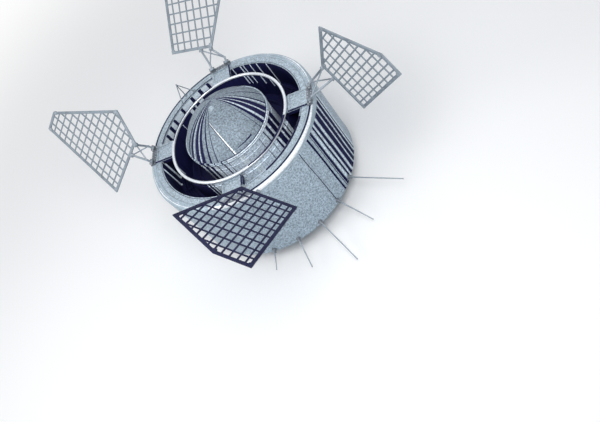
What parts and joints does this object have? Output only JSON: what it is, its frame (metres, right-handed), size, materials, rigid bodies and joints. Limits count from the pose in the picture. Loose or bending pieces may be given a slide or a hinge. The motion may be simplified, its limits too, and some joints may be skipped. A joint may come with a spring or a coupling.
{
  "type": "research satellite",
  "caption": "Drum-shaped research satellite with a domed instrument container in its open front, see-through solar paddles on folding arms, whip aerials and an adapter ring",
  "frame": {"origin": "centre of the bolt circle on the underside of the adapter ring, on the floor", "axes": "+Z is the drum's axis, dome up; +X lies within 3 degrees of the arm of paddle 1"},
  "size_m": [8.7927, 8.8967, 4.1219],
  "materials": {
    "skin": "satin silver skin with faint vertical streaks",
    "bright_rim": "polished rolled edge",
    "cover": "matt silver-grey sheet",
    "dark_inside": "matt blue-black paint, light streaks down the wall",
    "container": "brushed lengthwise, streaked light and dark",
    "dome": "spun and polished, dark and light gores meeting at the top",
    "block": "plain grey",
    "adapter": "machined ring, matt",
    "fitting": "satin steel",
    "pin": "ground steel",
    "bright_tube": "pale satin tube",
    "paddle_frame": "pale silver-white edge bar",
    "paddle_grid": "pale silver-white lattice bars"
  },
  "bodies": {
    "body": {"drum_skin": "skin", "rim_ring": "bright_rim", "rear_cover": "skin", "adapter_ring": "adapter", "rear_ribs": "adapter", "front_cover": "cover", "bridges": "cover", "bridge_plates": "cover", "slot_liner": "dark_inside", "deck": "dark_inside", "shroud_tube": "dark_inside", "shroud_lip": "bright_rim", "container_wall": "container", "container_collar": "bright_rim", "container_dome": "dome", "instrument_block": "block", "whip_sockets": "fitting", "whip_aerials": "bright_tube", "tripod_aerial": "bright_tube", "hinge_bracket_1": "fitting", "hinge_pins_1": "pin", "hinge_bracket_2": "fitting", "hinge_pins_2": "pin", "hinge_bracket_3": "fitting", "hinge_pins_3": "pin", "hinge_bracket_4": "fitting", "hinge_pins_4": "pin"},
    "paddle_1": {"paddle_frame_1": "paddle_frame", "paddle_grid_1": "paddle_grid", "arm_1": "bright_tube"},
    "paddle_2": {"paddle_frame_2": "paddle_frame", "paddle_grid_2": "paddle_grid", "arm_2": "bright_tube"},
    "paddle_3": {"paddle_frame_3": "paddle_frame", "paddle_grid_3": "paddle_grid", "arm_3": "bright_tube"},
    "paddle_4": {"paddle_frame_4": "paddle_frame", "paddle_grid_4": "paddle_grid", "arm_4": "bright_tube"}
  },
  "joints": [
    {"name": "paddle_fold_1", "type": "hinge", "parent": "body", "child": "paddle_1", "pos_m": [1.99726, -0.10467, 2.512], "axis": [-0.0523, -0.9986, 0], "range_deg": [0, 50]},
    {"name": "paddle_fold_2", "type": "hinge", "parent": "body", "child": "paddle_2", "pos_m": [-0.15692, 1.99384, 2.512], "axis": [0.9969, 0.0785, 0], "range_deg": [0, 50]},
    {"name": "paddle_fold_3", "type": "hinge", "parent": "body", "child": "paddle_3", "pos_m": [-1.99726, 0.10467, 2.512], "axis": [0.0523, 0.9986, 0], "range_deg": [0, 50]},
    {"name": "paddle_fold_4", "type": "hinge", "parent": "body", "child": "paddle_4", "pos_m": [0.05235, -1.99931, 2.512], "axis": [-0.9997, -0.0262, 0], "range_deg": [0, 50]}
  ]
}
